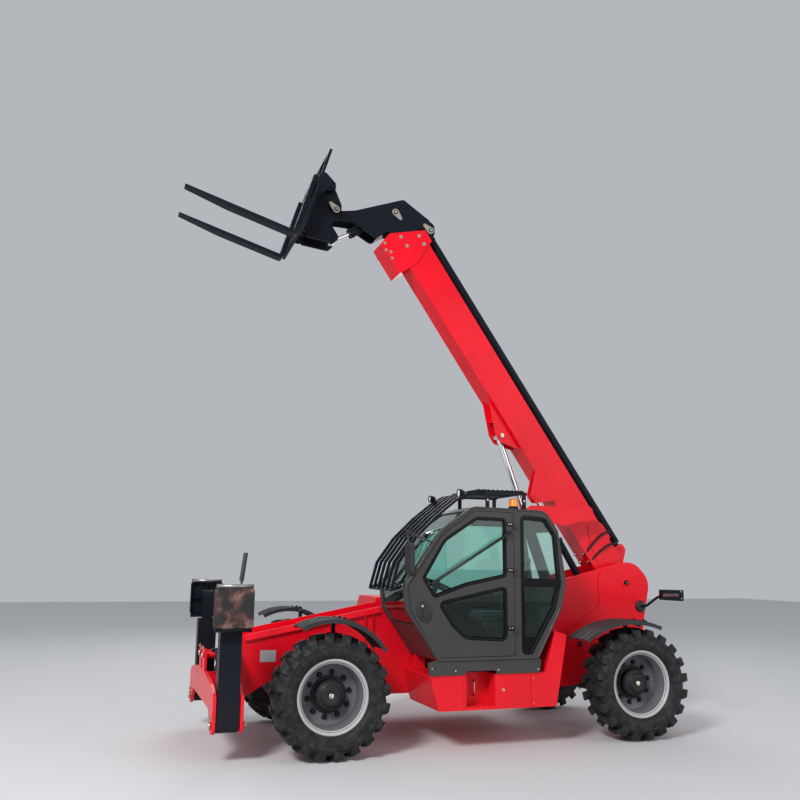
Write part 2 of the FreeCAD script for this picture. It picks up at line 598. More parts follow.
# Axles and knuckles.
for where, x in (("front", front_x), ("rear", rear_x)):
    axle_end = kingpin_out - 75
    housing = turned(f"{where}_housing", [
        (-axle_end, 0), (-axle_end, 75), (-190, 85), (-150, 150, 30), (-60, 190, 30),
        (60, 190, 30), (150, 150, 30), (190, 85), (axle_end, 75), (axle_end, 0),
    ], Placement(Vector(x, 0, wheel_high), Rotation()))
    axle_parts = [housing]
    for side, tag in ((1, "left"), (-1, "right")):
        for up in (1, -1):
            axle_parts.append(slab(f"{where}_yoke_{tag}_{up}", [
                (-55, side * (axle_end - 25)), (55, side * (axle_end - 25)),
                (50, side * (kingpin_out + 45), 40), (-50, side * (kingpin_out + 45), 40),
            ], 30, wheel_high + up * 115, "XY_Plane", place=Placement(Vector(x, 0, 0), Rotation())))
            axle_parts.append(rod_between(f"{where}_kingpin_{tag}_{up}",
                                          Vector(x, side * kingpin_out, wheel_high + up * 75),
                                          Vector(x, side * kingpin_out, wheel_high + up * 142),
                                          mm.kingpin / 2))
        axle_parts.append(side_block(f"{where}_yoke_web_{tag}", side,
                                     (x - 55, axle_end - 30, wheel_high - 130),
                                     (x + 55, axle_end, wheel_high + 130)))
        axle_parts.append(side_block(f"{where}_seat_{tag}", side, (x - 65, frame_side - 40, wheel_high + 40),
                                     (x + 65, frame_side + 40, axle_arch - 0.3)))
    node(f"{where}_axle", fused(f"{where}_axle_weld", axle_parts))

# Fenders: sheets bent round a centre of their own, on a bar that stands on the knuckle's post.
half_fender = mm.fender_width / 2
FENDERS = {
    # centre from the wheel's (x, z), radius of the underside, front and back angle above +X
    "front": ((28, 66), 615, 62, 147),
    "rear": ((106, -338), 964, 54.6, 110.8),
}
post_x = -82


def fender_section(radius):
    """Outline (y, radius) of a fender: a sheet with a lip on each edge and three raised ribs."""
    over = radius + mm.fender_thick
    outline = [(-half_fender, radius - mm.fender_lip), (-half_fender, over)]
    for middle in (-half_fender * 0.6, 0, half_fender * 0.6):
        outline += [(middle - 24, over), (middle - 16, over + 7), (middle + 16, over + 7),
                    (middle + 24, over)]
    inside = half_fender - mm.fender_thick
    outline += [(half_fender, over), (half_fender, radius - mm.fender_lip), (inside, radius - mm.fender_lip)]
    return outline + [(inside, radius), (-inside, radius), (-inside, radius - mm.fender_lip)]


for where, x in (("front", front_x), ("rear", rear_x)):
    (centre_x, centre_z), radius, front_angle, back_angle = FENDERS[where]
    underside = wheel_high + centre_z + math.sqrt(radius ** 2 - (post_x - centre_x) ** 2)
    for side, tag in ((1, "left"), (-1, "right")):
        carrier = turned(f"{where}_carrier_{tag}", [
            (side * -50, 0), (side * -50, 40), (side * -22, 88, 10), (side * 60, 92, 10),
            (side * 120, 73.7), (side * 268, 73.7), (side * 268, 0),
        ], Placement(Vector(x, side * kingpin_out, wheel_high), Rotation()))
        knuckle_hole = rod_between(f"{where}_knuckle_hole_{tag}",
                                   Vector(x, side * kingpin_out, wheel_high - 100),
                                   Vector(x, side * kingpin_out, wheel_high + 100), mm.kingpin / 2 + 0.4)
        arm = side_block(f"{where}_steer_arm_{tag}", side, (x - 190, kingpin_out + 16, wheel_high - 15),
                         (x - 60, kingpin_out + 56, wheel_high + 15))
        post = side_block(f"{where}_fender_post_{tag}", side,
                          (x + post_x - 18, kingpin_out + 22, wheel_high + 20),
                          (x + post_x + 18, kingpin_out + 58, underside - 26))
        weld = fused(f"{where}_knuckle_weld_{tag}", [carrier, arm, post])
        node(f"knuckle_{where}_{tag}", cut(f"{where}_knuckle_solid_{tag}", weld, [knuckle_hole]))
        bend = Placement(Vector(x + centre_x, side * wheel_out, wheel_high + centre_z),
                         Rotation(Vector(0, 1, 0), -back_angle))
        sheet = turned(f"{where}_fender_sheet_{tag}", fender_section(radius), bend, back_angle - front_angle)
        bar = side_block(f"{where}_fender_bar_{tag}", side, (x + post_x - 18, kingpin_out, underside - 26),
                         (x + post_x + 18, wheel_out + 60, underside + 1))
        node(f"fender_{where}_{tag}", fused(f"{where}_fender_weld_{tag}", [sheet, bar]))

# Wheels: tyre with its lugs, rim with its dish, and planetary hub.
LUGS = 20
tyre_radius = mm.tyre_diameter / 2
flange = mm.rim_diameter / 2
bead = flange - 30
half_rim = mm.rim_width / 2
half_tyre = mm.tyre_width / 2
tread = tyre_radius - mm.lug_high
half_lug = math.pi * tread / (2 * LUGS) - 2
tyre_section = [
    (-half_rim + 27, bead + 0.6), (-half_tyre + 12, flange + 94), (-half_tyre + 48, tread),
    (half_tyre - 48, tread), (half_tyre - 12, flange + 94), (half_rim - 27, bead + 0.6),
]
lug_section = [
    (6, tread - 22), (6, tyre_radius), (half_tyre - 52, tyre_radius), (half_tyre - 2, tyre_radius - 60),
    (half_tyre - 30, tyre_radius - 112),
]
lug_plan = [(-half_lug, 4), (40 - half_lug, 4), (half_lug, half_tyre + 5), (20 - half_lug, half_tyre + 5)]


def tyre_shape(side):
    """One tyre round the Y axis in flat faces: a many sided ring with two rows of slanted lugs."""
    step = 180 / LUGS
    widen = 1 / math.cos(math.radians(step / 2))
    faces = []
    for i in range(2 * LUGS):
        rings = []
        for turn in (math.radians((i - 0.5) * step), math.radians((i + 0.5) * step)):
            reaches = [radius * widen if radius < flange else radius for _, radius in tyre_section]
            rings.append([Vector(reach * math.sin(turn), y, reach * math.cos(turn))
                          for reach, (y, _) in zip(reaches, tyre_section)])
        first, second = rings
        for j in range(len(tyre_section)):
            k = (j + 1) % len(tyre_section)
            faces.append(Part.Face(Part.makePolygon([first[j], first[k], second[k], second[j], first[j]])))
    carcass = Part.makeSolid(Part.makeShell(faces))
    lugs = []
    for i in range(2 * LUGS):
        row = 1 if i % 2 else -1
        across = [Vector(-150, row * y, radius) for y, radius in lug_section]
        above = [Vector(x, row * y, 0) for x, y in lug_plan]
        bar = Part.Face(Part.makePolygon(across + across[:1])).extrude(Vector(300, 0, 0))
        lug = bar.common(Part.Face(Part.makePolygon(above + above[:1])).extrude(Vector(0, 0, tyre_radius + 50)))
        lug.rotate(Vector(0, 0, 0), Vector(0, 1, 0), i * step)
        lugs.append(lug)
    shape = carcass.multiFuse(lugs).removeSplitter()
    return shape if side > 0 else shape.mirror(Vector(0, 0, 0), Vector(0, 1, 0))


rim_section = [
    (-half_rim, flange - 12), (-half_rim, flange), (-half_rim + 12, flange), (-half_rim + 14, bead),
    (half_rim - 14, bead), (half_rim - 12, flange), (half_rim, flange), (half_rim, flange - 12),
    (half_rim - 20, bead - 14), (-45, bead - 14), (-64, 200), (-64, 141),
    (-76, 141), (-76, 200), (-57, bead - 14), (-half_rim + 20, bead - 14),
]
hub_section = [
    (-98, 74), (-98, 190), (-76.4, 190), (-76.4, 138), (20, 136, 10), (36, 118), (40, 92), (66, 84, 8),
    (72, 50), (72, 0), (-20, 0), (-20, 74),
]
for side, tag in ((1, "left"), (-1, "right")):
    tread_shape = tyre_shape(side)
    for where, x in (("front", front_x), ("rear", rear_x)):
        hub_place = Placement(Vector(x, side * wheel_out, wheel_high), Rotation())
        # The lugs are cut from flat faces that no sketch of one body holds, so the tyre is a plain shape.
        tyre = doc.addObject("Part::Feature", f"{where}_tyre_body_{tag}")
        tyre.Shape = tread_shape
        tyre.Placement = hub_place
        node(f"tyre_{where}_{tag}", tyre)
        rim = turned(f"{where}_rim_body_{tag}", [(side * out, radius) for out, radius in rim_section],
                     hub_place)
        node(f"rim_{where}_{tag}", rim)
        hub = turned(f"{where}_hub_body_{tag}", [(side * c[0], *c[1:]) for c in hub_section], hub_place)
        node(f"hub_{where}_{tag}", hub)

# Cab, hollow: a bent wrap between two side frames, with its door opening and windows.
cab_mid = (mm.cab_outer + mm.cab_inner) / 2
cab_width = mm.cab_outer - mm.cab_inner
room_width = cab_width - 2 * mm.cab_wall
door_mid = mm.cab_outer - mm.cab_wall / 2
inner_mid = mm.cab_inner + mm.cab_wall / 2
top = mm.cab_roof
low = mm.cab_floor
cab_x = front_x


def cab_corner(back, up, radius=0):
    """Place a corner behind the front axle and up the cab, where 1472 is its full height."""
    return (cab_x - back, low + up / 1472 * (top - low), radius)


def inset(corners, amount):
    """Move every corner of an outline inwards by amount, keeping its rounds."""
    count = len(corners)
    area = sum(corners[i - 1][0] * corners[i][1] - corners[i][0] * corners[i - 1][1] for i in range(count))
    sign = 1 if area > 0 else -1
    moved = []
    for i, corner in enumerate(corners):
        before = corners[i - 1]
        after = corners[(i + 1) % count]
        lines = []
        for p, q in ((before, corner), (corner, after)):
            length = math.hypot(q[0] - p[0], q[1] - p[1])
            along = ((q[0] - p[0]) / length, (q[1] - p[1]) / length)
            lines.append((p[0] - along[1] * sign * amount, p[1] + along[0] * sign * amount, *along))
        (ax, az, adx, adz), (bx, bz, bdx, bdz) = lines
        reach = ((bx - ax) * bdz - (bz - az) * bdx) / (adx * bdz - adz * bdx)
        radius = corner[2] if len(corner) > 2 else 0
        moved.append((ax + adx * reach, az + adz * reach, max(radius - amount, 8) if radius else 0))
    return moved


def strip(points, half):
    """Outline of a bent strip that follows a row of points, half wide to each side."""
    sides = ([], [])
    for i, here in enumerate(points):
        legs = []
        for p, q in ((i - 1, i), (i, i + 1)):
            if 0 <= p and q < len(points):
                length = math.dist(points[p], points[q])
                legs.append((-(points[q][1] - points[p][1]) / length, (points[q][0] - points[p][0]) / length))
        normal = (sum(leg[0] for leg in legs) / len(legs), sum(leg[1] for leg in legs) / len(legs))
        size = normal[0] ** 2 + normal[1] ** 2
        for row, sign in zip(sides, (1, -1)):
            row.append((here[0] + sign * half * normal[0] / size, here[1] + sign * half * normal[1] / size))
    return sides[0] + sides[1][::-1]


cab_outline = [
    cab_corner(1020, 0, 30), cab_corner(700, 460, 120), cab_corner(670, 700, 100),
    cab_corner(1050, 1237, 300),
    cab_corner(1390, 1472, 120), cab_corner(2190, 1452, 150), cab_corner(2330, 1252, 100),
    cab_corner(2410, 730, 120), cab_corner(2350, 480, 100), cab_corner(2080, 0, 30),
]
door_opening = [
    cab_corner(1010, 30, 30), cab_corner(735, 462, 100), cab_corner(705, 700, 90),
    cab_corner(1060, 1197, 280),
    cab_corner(1400, 1432, 100), cab_corner(1830, 1427, 20), cab_corner(1830, 30, 20),
]
quarter_opening = [
    cab_corner(1920, 1382, 40), cab_corner(2180, 1362, 60), cab_corner(2290, 1202, 60),
    cab_corner(2330, 730, 100),
    cab_corner(2260, 480, 60), cab_corner(2000, 60, 40), cab_corner(1920, 60, 30),
]
inner_opening = [
    cab_corner(1000, 560, 60), cab_corner(1000, 1052, 60), cab_corner(1400, 1352, 60),
    cab_corner(2150, 1342, 60),
    cab_corner(2280, 740, 60), cab_corner(2220, 560, 60),
]
through = mm.cab_wall * 3
cab_wrap = slab("cab_wrap", cab_outline, room_width, cab_mid)
cab_room = slab("cab_room", inset(cab_outline, mm.cab_wall), room_width + 10, cab_mid)
side_left = slab("side_frame_left", cab_outline, mm.cab_wall, door_mid, rule="Sizes.cab_wall")
side_right = slab("side_frame_right", cab_outline, mm.cab_wall, inner_mid, rule="Sizes.cab_wall")
door_hole = slab("door_hole", door_opening, through, mm.cab_outer)
quarter_hole = slab("quarter_hole", quarter_opening, through, mm.cab_outer)
inner_hole = slab("inner_hole", inner_opening, through, mm.cab_inner)
glass_half = cab_width / 2 - 75
screen_hole = slab("screen_hole", [
    cab_corner(500, 330), cab_corner(500, 1522), cab_corner(1330, 1522), cab_corner(1330, 1352),
    cab_corner(1100, 330),
], glass_half * 2, cab_mid)
rear_hole = slab("rear_hole", [
    cab_corner(2200, 760), cab_corner(2200, 1242), cab_corner(2600, 1242), cab_corner(2600, 760),
], glass_half * 2, cab_mid)
node("cab_shell", cut("cab_wrap_solid", cab_wrap, [cab_room, screen_hole, rear_hole]))
node("cab_side_right", cut("side_frame_right_solid", side_right, [inner_hole]))

# Left side frame with the door's hinges, the sill under the door, the window's bar and the mirror.
hinge_x = cab_x - 1830
hinge_y = mm.cab_outer + 15
hinge_heights = [cab_corner(1830, up)[1] for up in (277, 836, 1288)]
side_extras = []
door_hinges = []
door_bores = []
for i, z in enumerate(hinge_heights):
    pin_low = Vector(hinge_x, hinge_y, z - 30)
    side_extras.append(rod_between(f"hinge_pin_{i}", pin_low, Vector(hinge_x, hinge_y, z + 36), 6))
    side_extras.append(rod_between(f"hinge_knuckle_{i}", pin_low, Vector(hinge_x, hinge_y, z), 12))
    side_extras.append(block(f"hinge_leaf_{i}", (hinge_x - 60, mm.cab_outer - 1, z - 30),
                             (hinge_x, mm.cab_outer + 9, z)))
    leaf_low = Vector(hinge_x, hinge_y, z + 1)
    door_hinges.append(rod_between(f"door_knuckle_{i}", leaf_low, Vector(hinge_x, hinge_y, z + 34), 12))
    door_hinges.append(block(f"door_leaf_{i}", (hinge_x, mm.cab_outer - 1, z + 1),
                             (hinge_x + 80, mm.cab_outer + 9, z + 34)))
    door_bores.append(rod_between(f"door_bore_{i}", Vector(hinge_x, hinge_y, z - 5),
                                  Vector(hinge_x, hinge_y, z + 40), 6.3))
step_front = cab_x - 1310
step_back = cab_x - 1615
box_high = low - 133
side_extras.append(slab("door_sill", [
    (cab_x - 935, box_high, 10), (cab_x - 915, low - 15, 10), (cab_x - 1000, low + 8),
    (cab_x - 2085, low + 8),
    (cab_x - 2112, low - 15, 10), (cab_x - 2095, box_high, 10), (step_back - 20, box_high),
    (step_back, low - 98),
    (step_front, low - 98), (step_front + 20, box_high),
], 26, mm.cab_outer - 22))
side_extras.append(slab("quarter_bar", [
    cab_corner(1900, 700), cab_corner(2345, 690), cab_corner(2345, 762), cab_corner(1900, 772),
], 14, mm.cab_outer - 8.5))
mirror_x = cab_x - 718
mirror_turn = Placement(Vector(mirror_x, mm.cab_outer - 15, low + 955), Rotation(Vector(0, 0, 1), 25))
side_extras.append(slab("cab_mirror", [
    (-35, -145, 30), (58, -145, 30), (58, 145, 30), (-35, 145, 30),
], 40, 0, "YZ_Plane", place=mirror_turn))
arm_knee = Vector(cab_x - 700, mm.cab_outer - 20, low + 1206)
side_extras.append(rod_between("mirror_arm", arm_knee, Vector(cab_x - 985, mm.cab_outer - 20, low + 1106), 9))
side_extras.append(rod_between("mirror_drop", arm_knee + Vector(0, 0, 4),
                               Vector(mirror_x, mm.cab_outer - 20, low + 1090), 9))
side_left_solid = cut("side_frame_left_solid", side_left, [door_hole, quarter_hole])
node("cab_side_left", fused("side_frame_left_weld", [side_left_solid] + side_extras))

# Cab door in the cab's outer side, hinged at its rear edge, with its grab bar and handle.
door_outline = [
    cab_corner(1004 + mm.door_gap, 36, 30), cab_corner(735 + mm.door_gap, 466, 100),
    cab_corner(705 + mm.door_gap, 697, 90),
    cab_corner(1064, 1190, 280), cab_corner(1403, 1432 - mm.door_gap, 100),
    cab_corner(1830 - mm.door_gap, 1427 - mm.door_gap, 20),
    cab_corner(1830 - mm.door_gap, 30 + mm.door_gap, 20),
]
upper_pane = [
    cab_corner(860, 775, 40), cab_corner(975, 595, 40), cab_corner(1315, 710), cab_corner(1735, 795, 40),
    cab_corner(1735, 1357, 40), cab_corner(1420, 1362, 80), cab_corner(1080, 1142, 200),
]
lower_pane = [
    cab_corner(1017, 540, 40), cab_corner(1735, 690, 40), cab_corner(1735, 180, 60),
    cab_corner(1300, 205, 150),
    cab_corner(1160, 330, 60),
]
door_extras = []
bar_out = mm.cab_outer + mm.grab_bar_out
bar_ends = [Vector(x, bar_out, z) for x, z, _ in (cab_corner(925, 718), cab_corner(1778, 1228))]
door_extras.append(rod_between("grab_bar", *bar_ends, 13))
for i, end in enumerate(bar_ends):
    door_extras.append(rod_between(f"grab_foot_{i}", Vector(end.x, mm.cab_outer - 1, end.z), end, 10))
handle_x, handle_z, _ = cab_corner(868, 458)
door_extras.append(slab("door_handle", [
    (handle_x - 75, handle_z - 38, 34), (handle_x + 75, handle_z - 30, 30),
    (handle_x + 75, handle_z + 38, 34),
    (handle_x - 75, handle_z + 30, 30),
], 16, mm.cab_outer + 7))
door_plate = slab("door_blank", door_outline, mm.cab_wall, door_mid, rule="Sizes.cab_wall")
door_blank = fused("door_weld", [door_plate] + door_hinges)
door_cuts = [slab("upper_opening", upper_pane, through, door_mid),
             slab("lower_opening", lower_pane, through, door_mid)]
door_frame = cut("door_frame", door_blank, door_cuts + door_bores)
node("cab_door", fused("door_solid", [door_frame] + door_extras))
node("door_glass", together("door_panes", [
    slab("upper_glass", inset(upper_pane, 0.3), mm.glass_thick, door_mid, rule="Sizes.glass_thick"),
    slab("lower_glass", inset(lower_pane, 0.3), mm.glass_thick, door_mid, rule="Sizes.glass_thick"),
]))
band_out = slab("screen_out", inset(cab_outline, 12), glass_half * 2 - 0.6, cab_mid)
band_in = slab("screen_in", inset(cab_outline, 12 + mm.glass_thick), glass_half * 2 + 10, cab_mid)
screen_keep = slab("screen_keep", [
    cab_corner(500, 330.3), cab_corner(500, 1522), cab_corner(1329.7, 1522), cab_corner(1329.7, 1352),
    cab_corner(1099.7, 330.3),
], glass_half * 2 + 20, cab_mid)
screen = doc.addObject("Part::Common", "windscreen")
screen.Base = cut("screen_band", band_out, [band_in])
screen.Tool = screen_keep
node("cab_glass", together("fixed_panes", [
    slab("quarter_glass", inset(quarter_opening, 0.3), mm.glass_thick, door_mid - 4),
    slab("inner_glass", inset(inner_opening, 0.3), mm.glass_thick, inner_mid),
    screen,
]))

# Guard of bent bars over the cab's front and a slatted guard on its roof.
guard_line = [(cab_x - back, z) for back, z in (
    (563, 1496), (636, 1759), (818, 2007), (1018, 2200), (1232, 2371), (1360, 2444), (1548, 2481))]
guard_ends = (mm.cab_inner + 30, mm.cab_outer - 85)
feet_out = (guard_ends[0], mm.cab_outer - 60)
guard_bars = 6
bar_half = mm.guard_bar / 2
guard_step = (guard_ends[1] - guard_ends[0]) / (guard_bars - 1)
guard_parts = [slab(f"guard_bar_{i}", strip(guard_line, bar_half), mm.guard_bar,
                    guard_ends[0] + i * guard_step)
               for i in range(guard_bars)]
for i, outer in ((0, feet_out[1]), (2, guard_ends[1]), (4, guard_ends[1]), (6, feet_out[1])):
    x, z = guard_line[i]
    guard_parts.append(block(f"guard_cross_{i}", (x - 9, guard_ends[0], z - 9), (x + 9, outer, z + 9)))
lamp_seat_x = cab_x - 1319
lamp_seat_top = 2401
guard_parts.append(block("lamp_seat", (lamp_seat_x - 12, guard_ends[1] - guard_step - 10, lamp_seat_top - 17),
                         (lamp_seat_x + 12, guard_ends[1] + 10, lamp_seat_top)))
slat_front = cab_x - 1479
slat_step = 53
slat_count = 10
slat_low = top + 140
for end in feet_out:
    guard_parts.append(slab(f"guard_foot_{int(end)}", [
        (guard_line[0][0] + 8, guard_line[0][1] + 20), (guard_line[0][0] + 8, guard_line[0][1] - 10),
        (cab_x - 690, guard_line[0][1] + 22), (cab_x - 690, guard_line[0][1] + 62),
    ], 12, end))
    for i, x in enumerate((guard_line[-1][0] - 20, slat_front - slat_step * slat_count + 30)):
        guard_parts.append(block(f"roof_foot_{int(end)}_{i}", (x - 20, end - 6, top - 30),
                                 (x + 20, end + 6, slat_low + 12)))
    guard_parts.append(block(f"roof_rail_{int(end)}",
                             (slat_front - slat_step * slat_count, end - 8, slat_low - 8),
                             (guard_line[-1][0] + 20, end + 8, slat_low + 22)))
for i in range(slat_count):
    back = slat_front - slat_step * (i + 1)
    guard_parts.append(slab(f"roof_slat_{i}", [
        (back, slat_low + 10), (back + 52, slat_low + 44), (back + 56, slat_low + 38),
        (back + 4, slat_low + 4),
    ], feet_out[1] - feet_out[0], sum(feet_out) / 2))
cab_solid = slab("cab_solid", cab_outline, cab_width, cab_mid)
node("cab_guard", cut("guard_solid", fused("guard_weld", guard_parts), [cab_solid]))

# Two work lamps and the beacon on the roof, and the rear lamps on arms from the chassis.
lamp_parts = []
rear_arm = [(tail_x + 40, mm.frame_width / 2 + mm.doubler + 0.2, 1290), (tail_x + 40, 420, 1290),
            (tail_x - 60, 560, 1425), (tail_x - 60, 900, 1432)]
for side, tag in ((1, "left"), (-1, "right")):
    lamp_parts.append(pipe(f"rear_lamp_arm_{tag}", [(x, side * y, z) for x, y, z in rear_arm], 14))
    lamp_parts.append(slab(f"rear_lamp_{tag}", [
        (tail_x + 180, 1386, 12), (tail_x + 175, 1495, 12), (tail_x - 100, 1489, 12), (tail_x - 92, 1370, 12),
    ], 60, side * 900))
for i, (back, y, z, radius, stalk_x, stalk_low) in enumerate((
    (1217, guard_ends[0] + guard_step / 2, 2424, 35, guard_line[4][0], guard_line[4][1] + 9),
    (1319, guard_ends[1] - guard_step / 2, 2447, 45, lamp_seat_x, lamp_seat_top),
)):
    aim = Placement(Vector(cab_x - back, y, z), Rotation(Vector(0, 0, 1), -90))
    lamp_parts.append(turned(f"work_lamp_{i}", [
        (-38, 0), (-38, radius * 0.5), (-8, radius, 8), (28, radius), (28, radius - 5), (22, radius - 6),
        (22, 0),
    ], aim))
    lamp_parts.append(rod_between(f"lamp_stalk_{i}", Vector(stalk_x, y, stalk_low),
                                  Vector(stalk_x, y, z - 20), 8))
beacon = Placement(Vector(cab_x - 1888, mm.cab_outer - 120, top - 16), Rotation(Vector(1, 0, 0), 90))
lamp_parts.append(turned("beacon", [
    (0, 0), (0, 52), (30, 50), (34, 47), (100, 45, 12), (116, 20), (116, 0),
], beacon))
node("work_lamps", cut("lamp_solid", fused("lamp_set", lamp_parts), [cab_solid]))

# Plate beside the boom, carried back from the cab's inner side.
node("boom_shield", slab("shield_plate", [
    (cab_x - 2446, 2400, 20), (cab_x - 3228, 2405, 40), (cab_x - 3280, 2258, 20), (cab_x - 3052, 2233, 40),
    (cab_x - 2895, 2181, 30), (cab_x - 2785, 2203, 30), (cab_x - 2420, 2110, 30), (cab_x - 2170, 2120, 30),
    (cab_x - 2150, 2270, 30), (cab_x - 2330, 2330, 60),
], mm.doubler, mm.cab_inner - mm.doubler / 2))

# Seat, steering column and wheel in the cab.
seat_x = cab_x - 1800
floor_top = low + mm.cab_wall
seat_base = block("seat_base", (seat_x - 190, cab_mid - 190, floor_top + 0.3),
                  (seat_x + 190, cab_mid + 190, floor_top + 300))
cushion = slab("seat_cushion", [
    (seat_x - 230, floor_top + 300, 30), (seat_x + 260, floor_top + 300, 40),
    (seat_x + 270, floor_top + 400, 50),
    (seat_x - 230, floor_top + 390, 30),
], 460, cab_mid)
back = slab("seat_back", [
    (seat_x - 230, floor_top + 380, 20), (seat_x - 120, floor_top + 380, 20),
    (seat_x - 230, floor_top + 950, 60),
    (seat_x - 330, floor_top + 950, 50),
], 440, cab_mid)
node("seat", fused("seat_shape", [seat_base, cushion, back]))
column_low = Vector(cab_x - 1000, cab_mid, floor_top + 300)
column_high = Vector(cab_x - 1150, cab_mid, floor_top + 660)
column_place = Placement(column_high, Rotation(Vector(0, 0, 1), column_high - column_low))
console = slab("console_box", [
    (cab_x - 1090, floor_top + 0.3), (cab_x - 1000, floor_top + 130, 30), (cab_x - 905, floor_top + 300, 40),
    (cab_x - 940, floor_top + 430, 40), (cab_x - 1020, floor_top + 430, 40),
    (cab_x - 1190, floor_top + 200, 60),
    (cab_x - 1250, floor_top + 0.3),
], 300, cab_mid)
column = rod_between("steering_column", column_low, column_high, 30)
rim_ring = doc.addObject("Part::Torus", "steering_rim")
rim_ring.Radius1 = mm.steering_wheel / 2
rim_ring.Radius2 = 13
rim_ring.Placement = column_place
spoke = block("steering_spoke", (-mm.steering_wheel / 2, -18, -6), (mm.steering_wheel / 2, 18, 6),
              column_place)
node("steering_console", fused("console_shape", [console, column, rim_ring, spoke]))

# Box under the cab with its step, and the cab's mounting to the chassis.
box_low = mm.frame_belly - 60
box_in = mm.frame_width / 2 + 0.3
box_out = mm.cab_outer - 20
step_box = slab("side_box_blank", [
    (cab_x - 1030, box_low, 10), (cab_x - 940, box_high, 10), (cab_x - 2160, box_high, 30),
    (cab_x - 2279, low + 261, 10), (cab_x - 2410, low + 218, 10), (cab_x - 2277, box_low, 10),
], box_out - box_in, (box_out + box_in) / 2)
box_cuts = [block("step_recess", (step_back, box_out - 200, box_low + 20),
                  (step_front, mm.cab_outer, box_high + 40))]
for i, seam in enumerate((1285, 2000)):
    box_cuts.append(block(f"box_seam_{i}", (cab_x - seam - 3, box_out - 5, box_low - 1),
                          (cab_x - seam + 3, mm.cab_outer, box_high + 1)))
box_extras = [block(f"cab_mount_{i}", (cab_x - back - 50, y - 40, box_high - 1),
                    (cab_x - back + 50, y + 40, low - 0.3))
              for i, (back, y) in enumerate(((1080, 420), (1080, 1000), (2030, 420), (2030, 1000)))]
for i in range(5):
    tooth = step_back + 12 + i * 60
    box_extras.append(slab(f"step_tread_{i}", [
        (tooth, box_low + 15), (tooth + 44, box_low + 15), (tooth + 44, box_low + 28),
        (tooth + 22, box_low + 34), (tooth, box_low + 28),
    ], 180, box_out - 95))
node("side_box", fused("side_box_weld", [cut("side_box_solid", step_box, box_cuts)] + box_extras))

# Engine bay, its hinged hood and the engine block on the right side.
bay_front = cab_x - 830
bay_rear = cab_x - 2350
bay_split = mm.hood_top - 530
bay_mid = -(mm.hood_outer + mm.hood_inner) / 2
side_face = -mm.frame_width / 2
wall = mm.hood_wall
bay_box = block("bay_outside", (bay_rear, -mm.hood_outer, box_low), (bay_front, side_face - 0.3, bay_split))
bay_hollow = block("bay_hollow", (bay_rear + wall, wall - mm.hood_outer, box_low + wall),
                   (bay_front - wall, side_face - wall, bay_split + 10))
bay_back_wall = block("bay_back_wall", (bay_rear, side_face - wall, bay_split - 5),
                      (bay_front, side_face - 0.3, mm.hood_top - wall))
hood_hinge = (10 - mm.hood_inner, mm.hood_top + 14)
bay_parts = [cut("bay_solid", bay_box, [bay_hollow]), bay_back_wall]
hood_hinges = []
hood_bores = []
for i, x in enumerate((bay_rear + 250, bay_front - 250)):
    bay_parts.append(rod_between(f"hood_pin_{i}", Vector(x - 30, *hood_hinge), Vector(x + 66, *hood_hinge),
                                 6))
    bay_parts.append(rod_between(f"bay_knuckle_{i}", Vector(x - 30, *hood_hinge), Vector(x, *hood_hinge), 12))
    bay_parts.append(block(f"bay_leaf_{i}", (x - 30, side_face - wall, mm.hood_top - 60),
                           (x, side_face - 0.3, hood_hinge[1])))
    hood_hinges.append(rod_between(f"hood_knuckle_{i}", Vector(x + 1, *hood_hinge),
                                   Vector(x + 60, *hood_hinge), 12))
    hood_hinges.append(block(f"hood_leaf_{i}", (x + 1, hood_hinge[0] - 60, mm.hood_top - 2),
                             (x + 60, hood_hinge[0], hood_hinge[1] - 6)))
    hood_bores.append(rod_between(f"hood_bore_{i}", Vector(x, *hood_hinge), Vector(x + 70, *hood_hinge), 6.3))
node("engine_bay", fused("bay_weld", bay_parts))
hood_outline = [
    (-mm.hood_outer, bay_split + 5), (-mm.hood_outer, mm.hood_top - 200, 120),
    (150 - mm.hood_outer, mm.hood_top, 120),
    (-mm.hood_inner, mm.hood_top, 30), (-mm.hood_inner, bay_split + 5),
]
hood_length = bay_front - bay_rear
hood_blank = slab("hood_outside", hood_outline, hood_length, (bay_front + bay_rear) / 2, "YZ_Plane")
hood_in = slab("hood_inside", [
    (wall - mm.hood_outer, bay_split - 10), (wall - mm.hood_outer, mm.hood_top - 205, 110),
    (155 - mm.hood_outer, mm.hood_top - wall, 110), (30 - mm.hood_inner, mm.hood_top - wall),
    (30 - mm.hood_inner, bay_split - 10),
], hood_length - 2 * wall, (bay_front + bay_rear) / 2, "YZ_Plane")
louvres = []
for row, z in enumerate((bay_split + 70, bay_split + 200)):
    for i in range(8):
        slot_x = bay_rear + 120 + i * 75
        louvres.append(block(f"louvre_{row}_{i}", (slot_x, -mm.hood_outer - 1, z),
                             (slot_x + 22, wall + 1 - mm.hood_outer, z + 90)))
node("engine_hood",
     cut("hood_solid", fused("hood_weld", [hood_blank] + hood_hinges), [hood_in] + hood_bores + louvres))
node("engine_block", block("engine_mass", (bay_rear + 250, bay_mid - 260, box_low + wall + 0.3),
                           (bay_front - 250, bay_mid + 260, mm.hood_top - 180)))

